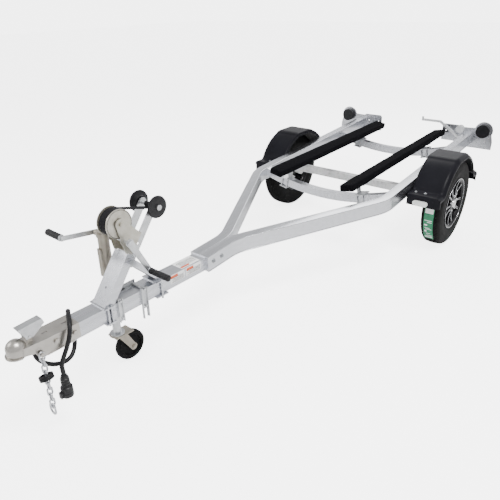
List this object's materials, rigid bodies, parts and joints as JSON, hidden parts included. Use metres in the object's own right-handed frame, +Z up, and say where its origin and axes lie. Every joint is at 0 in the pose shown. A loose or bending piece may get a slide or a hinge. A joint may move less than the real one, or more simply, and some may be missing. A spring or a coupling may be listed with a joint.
{
  "type": "boat trailer",
  "caption": "Light boat trailer: bent aluminium rails on a box tongue, carpeted bunks, winch post, swing-up jack with caster and fendered road wheels.",
  "frame": {"origin": "on the ground, at the centre of the bounding box's footprint", "axes": "+X forward to the coupler, +Y left, +Z up"},
  "size_m": [3.5804, 1.42, 0.8258],
  "materials": {
    "frame_aluminium": "mill aluminium, satin",
    "zinc": "zinc plated steel",
    "satin_steel": "satin grey coating",
    "wheel_black": "black with machined edges",
    "tyre": "matt rubber",
    "black_plastic": "black moulded plastic",
    "clear_lens": "clear lens",
    "rubber": "black rubber",
    "carpet": "black carpet",
    "webbing": "black woven strap"
  },
  "bodies": {
    "frame": {"tongue": "frame_aluminium", "rail_left": "frame_aluminium", "rail_right": "frame_aluminium", "front_bow": "frame_aluminium", "rear_bow": "frame_aluminium", "axle": "zinc", "fender_left": "black_plastic", "fender_right": "black_plastic", "fender_brackets": "zinc", "marker_lamps": "clear_lens", "bunk_left": "carpet", "bunk_right": "carpet", "bunk_brackets_left": "zinc", "bunk_brackets_right": "zinc", "light_plate_left": "frame_aluminium", "light_plate_right": "frame_aluminium", "tail_lamp_left": "black_plastic", "tail_lamp_right": "black_plastic", "plate_arm": "zinc", "coupler_body": "satin_steel", "safety_chain": "zinc", "chain_hook": "zinc", "coil_keeper": "rubber", "winch_post": "frame_aluminium", "roller_fork": "zinc", "post_brace": "frame_aluminium", "winch_frame": "zinc", "winch_strap": "webbing", "jack_bracket": "zinc", "wiring_cord": "rubber", "wiring_plug": "black_plastic"},
    "wheel_left": {"tyre_left": "tyre", "rim_left": "wheel_black"},
    "wheel_right": {"tyre_right": "tyre", "rim_right": "wheel_black"},
    "latch": {"coupler_latch": "zinc"},
    "drum": {"winch_drum": "zinc"},
    "handle": {"winch_handle": "zinc"},
    "bow_roller_left": {"roller_left": "rubber"},
    "bow_roller_right": {"roller_right": "rubber"},
    "jack": {"jack_tube": "satin_steel"},
    "crank": {"jack_crank": "zinc"},
    "jack_leg": {"jack_inner": "zinc"},
    "caster": {"caster_fork": "satin_steel"},
    "caster_tyre": {"caster_wheel": "black_plastic"}
  },
  "joints": [
    {"name": "wheel_left_spin", "type": "hinge", "parent": "frame", "child": "wheel_left", "pos_m": [-0.90424, 0.633, 0.288], "axis": [0, 1, 0], "continuous": true},
    {"name": "wheel_right_spin", "type": "hinge", "parent": "frame", "child": "wheel_right", "pos_m": [-0.90424, -0.633, 0.288], "axis": [0, 1, 0], "continuous": true},
    {"name": "coupler_latch_lift", "type": "hinge", "parent": "frame", "child": "latch", "pos_m": [1.69647, 0, 0.46716], "axis": [0, 1, 0], "range_deg": [0, 30]},
    {"name": "winch_drum_spin", "type": "hinge", "parent": "frame", "child": "drum", "pos_m": [1.26323, 0, 0.76201], "axis": [0, 1, 0], "continuous": true},
    {"name": "winch_handle_spin", "type": "hinge", "parent": "frame", "child": "handle", "pos_m": [1.25647, 0, 0.68876], "axis": [0, 1, 0], "continuous": true},
    {"name": "bow_roller_left_spin", "type": "hinge", "parent": "frame", "child": "bow_roller_left", "pos_m": [1.07836, 0.05, 0.7768], "axis": [0, 1, 0], "continuous": true},
    {"name": "bow_roller_right_spin", "type": "hinge", "parent": "frame", "child": "bow_roller_right", "pos_m": [1.07836, -0.05, 0.7768], "axis": [0, 1, 0], "continuous": true},
    {"name": "jack_swing", "type": "hinge", "parent": "frame", "child": "jack", "pos_m": [1.26358, -0.07, 0.39184], "axis": [0, 1, 0], "range_deg": [0, 90]},
    {"name": "jack_crank_spin", "type": "hinge", "parent": "jack", "child": "crank", "pos_m": [1.26084, -0.13, 0.67689], "axis": [0, 1, 0], "continuous": true},
    {"name": "jack_lift", "type": "slide", "parent": "jack", "child": "jack_leg", "axis": [0.0307, 0, -0.9995], "range_m": [-0.13, 0.1]},
    {"name": "caster_swivel", "type": "hinge", "parent": "jack_leg", "child": "caster", "pos_m": [1.27027, -0.1, 0.17395], "axis": [-0.0307, 0, 0.9995], "continuous": true},
    {"name": "caster_wheel_spin", "type": "hinge", "parent": "caster", "child": "caster_tyre", "pos_m": [1.21525, -0.1, 0.076], "axis": [0, 1, 0], "continuous": true}
  ],
  "couplings": [
    {"joint": "winch_handle_spin", "follows": "winch_drum_spin", "ratio": -5.0833}
  ]
}
